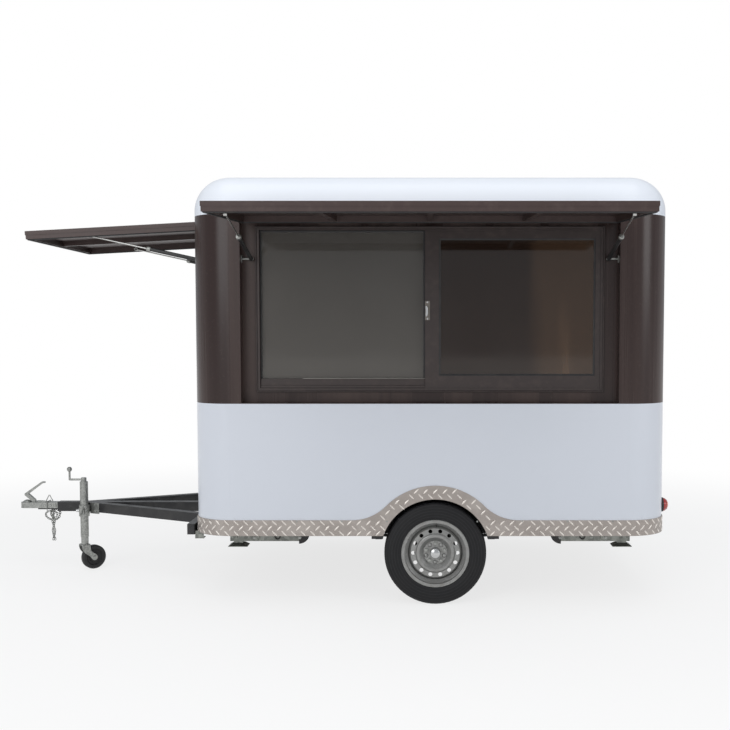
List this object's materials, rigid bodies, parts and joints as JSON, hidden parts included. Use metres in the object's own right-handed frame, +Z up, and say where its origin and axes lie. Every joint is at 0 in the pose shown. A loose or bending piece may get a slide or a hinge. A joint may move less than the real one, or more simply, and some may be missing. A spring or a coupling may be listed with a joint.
{
  "type": "concession trailer",
  "caption": "Single-axle concession trailer with a rounded cabin, top-hung serving hatches, sliding window, ball coupler and jockey wheel.",
  "frame": {"origin": "on the ground, under the middle of the outline with both hatches open", "axes": "-X along the drawbar, the way it is towed; -Y towards the serving side; +Z up"},
  "size_m": [3.7842, 2.8838, 2.246],
  "materials": {
    "white_panel": "gel-coated panel, gloss white",
    "brown_panel": "gel-coated panel, gloss dark brown",
    "brown_hatch": "painted dark brown",
    "brown_frame": "dark brown powder coat",
    "chequer_plate": "bright chequer plate",
    "floor_board": "sealed board",
    "black_steel": "black paint",
    "clear_glass": "clear",
    "tinted_glass": "brown tint",
    "chrome_trim": "polished",
    "black_strut": "black paint",
    "bright_rod": "ground bright",
    "hinge_steel": "satin",
    "zinc": "zinc plate",
    "wheel_steel": "silver paint",
    "counter_steel": "brushed",
    "black_rubber": "solid rubber",
    "tyre_rubber": "black rubber",
    "lamp_red": "red and amber lens"
  },
  "bodies": {
    "trailer": {"front_cap_lower": "white_panel", "rear_cap_lower": "white_panel", "serving_wall_lower": "white_panel", "far_wall_lower": "white_panel", "front_cap_upper": "brown_panel", "rear_cap_upper": "brown_panel", "serving_wall_upper": "brown_panel", "far_wall_upper": "brown_panel", "roof": "white_panel", "floor": "floor_board", "skirt_front": "chequer_plate", "skirt_rear": "chequer_plate", "arch_plates": "chequer_plate", "wheel_wells": "black_steel", "serving_window_frame": "brown_frame", "window_panes": "clear_glass", "serving_window_sash": "brown_frame", "serving_sash_glass": "tinted_glass", "window_latch": "chrome_trim", "front_window_frame": "brown_frame", "fixed_hinges": "hinge_steel", "strut_base_studs": "zinc", "serving_counter": "counter_steel", "chassis_rails": "black_steel", "chassis_crossmembers": "black_steel", "drawbar_spine": "black_steel", "drawbar_bars": "black_steel", "coupler_body": "zinc", "coupler_lever": "zinc", "safety_chain": "zinc", "jockey_tube": "zinc", "jockey_crank": "zinc", "jockey_clamp": "zinc", "axle_beam": "black_steel", "leaf_springs": "black_steel", "spring_hangers": "black_steel", "steady_mounts": "zinc", "tail_lamps": "lamp_red"},
    "serving_hatch": {"serving_hatch": "brown_hatch"},
    "front_hatch": {"front_hatch": "brown_hatch"},
    "serving_strut_cylinders": {"serving_strut_cylinders": "black_strut"},
    "serving_strut_rods": {"serving_strut_rods": "bright_rod"},
    "front_strut_cylinders": {"front_strut_cylinders": "black_strut"},
    "front_strut_rods": {"front_strut_rods": "bright_rod"},
    "rear_door": {"rear_door": "white_panel", "rear_door_handle": "chrome_trim"},
    "jockey_stem": {"jockey_stem": "zinc"},
    "jockey_fork": {"jockey_fork": "zinc"},
    "jockey_wheel": {"jockey_wheel": "black_rubber"},
    "serving_wheel": {"tyre_serving": "tyre_rubber", "rim_serving": "wheel_steel", "hub_serving": "wheel_steel"},
    "far_wheel": {"tyre_far": "tyre_rubber", "rim_far": "wheel_steel", "hub_far": "wheel_steel"},
    "steady_front_serving": {"steady_leg_front_serving": "zinc"},
    "steady_front_far": {"steady_leg_front_far": "zinc"},
    "steady_rear_serving": {"steady_leg_rear_serving": "zinc"},
    "steady_rear_far": {"steady_leg_rear_far": "zinc"}
  },
  "joints": [
    {"name": "serving_wheel_spin", "type": "hinge", "parent": "trailer", "child": "serving_wheel", "pos_m": [0.6281, -0.38411, 0.27], "axis": [0, 1, 0], "continuous": true},
    {"name": "far_wheel_spin", "type": "hinge", "parent": "trailer", "child": "far_wheel", "pos_m": [0.6281, 1.35989, 0.27], "axis": [0, 1, 0], "continuous": true},
    {"name": "serving_hatch_hinge", "type": "hinge", "parent": "trailer", "child": "serving_hatch", "pos_m": [0.6001, -0.46761, 2.044], "axis": [1, 0, 0], "range_deg": [0, 86.9]},
    {"name": "serving_strut_swing", "type": "hinge", "parent": "trailer", "child": "serving_strut_cylinders", "pos_m": [0.6001, -0.40511, 1.812], "axis": [1, 0, 0], "range_deg": [-1, 100.42]},
    {"name": "serving_strut_slide", "type": "slide", "parent": "serving_strut_cylinders", "child": "serving_strut_rods", "axis": [0, -0.9765, 0.2153], "range_m": [-0.30982, 0.002]},
    {"name": "front_hatch_hinge", "type": "hinge", "parent": "trailer", "child": "front_hatch", "pos_m": [-0.6554, 0.48789, 2.044], "axis": [0, -1, 0], "range_deg": [0, 86.9]},
    {"name": "front_strut_swing", "type": "hinge", "parent": "trailer", "child": "front_strut_cylinders", "pos_m": [-0.5929, 0.48789, 1.812], "axis": [0, -1, 0], "range_deg": [-1, 100.42]},
    {"name": "front_strut_slide", "type": "slide", "parent": "front_strut_cylinders", "child": "front_strut_rods", "axis": [-0.9765, 0, 0.2153], "range_m": [-0.30982, 0.002]},
    {"name": "rear_door_hinge", "type": "hinge", "parent": "trailer", "child": "rear_door", "pos_m": [1.8566, 0.84789, 1.2], "axis": [0, 0, 1], "range_deg": [0, 110]},
    {"name": "jockey_slide", "type": "slide", "parent": "trailer", "child": "jockey_stem", "axis": [0, 0, 1], "range_m": [-0.1, 0.04]},
    {"name": "jockey_swivel", "type": "hinge", "parent": "jockey_stem", "child": "jockey_fork", "pos_m": [-1.4849, 0.40989, 0.155], "axis": [0, 0, 1], "continuous": true},
    {"name": "jockey_wheel_spin", "type": "hinge", "parent": "jockey_fork", "child": "jockey_wheel", "pos_m": [-1.44392, 0.4419, 0.072], "axis": [-0.6157, 0.788, 0], "continuous": true},
    {"name": "steady_front_serving_drop", "type": "hinge", "parent": "trailer", "child": "steady_front_serving", "pos_m": [-0.1099, -0.23211, 0.318], "axis": [0, -1, 0], "range_deg": [0, 48]},
    {"name": "steady_front_far_drop", "type": "hinge", "parent": "trailer", "child": "steady_front_far", "pos_m": [-0.1099, 1.20789, 0.318], "axis": [0, -1, 0], "range_deg": [0, 48]},
    {"name": "steady_rear_serving_drop", "type": "hinge", "parent": "trailer", "child": "steady_rear_serving", "pos_m": [1.3101, -0.23211, 0.318], "axis": [0, 1, 0], "range_deg": [0, 48]},
    {"name": "steady_rear_far_drop", "type": "hinge", "parent": "trailer", "child": "steady_rear_far", "pos_m": [1.3101, 1.20789, 0.318], "axis": [0, 1, 0], "range_deg": [0, 48]}
  ],
  "couplings": [
    {"joint": "serving_strut_swing", "follows": "serving_hatch_hinge", "ratio": 1.1441},
    {"joint": "serving_strut_slide", "follows": "serving_hatch_hinge", "m_per_rad": -0.20295},
    {"joint": "front_strut_swing", "follows": "front_hatch_hinge", "ratio": 1.1441},
    {"joint": "front_strut_slide", "follows": "front_hatch_hinge", "m_per_rad": -0.20295}
  ]
}
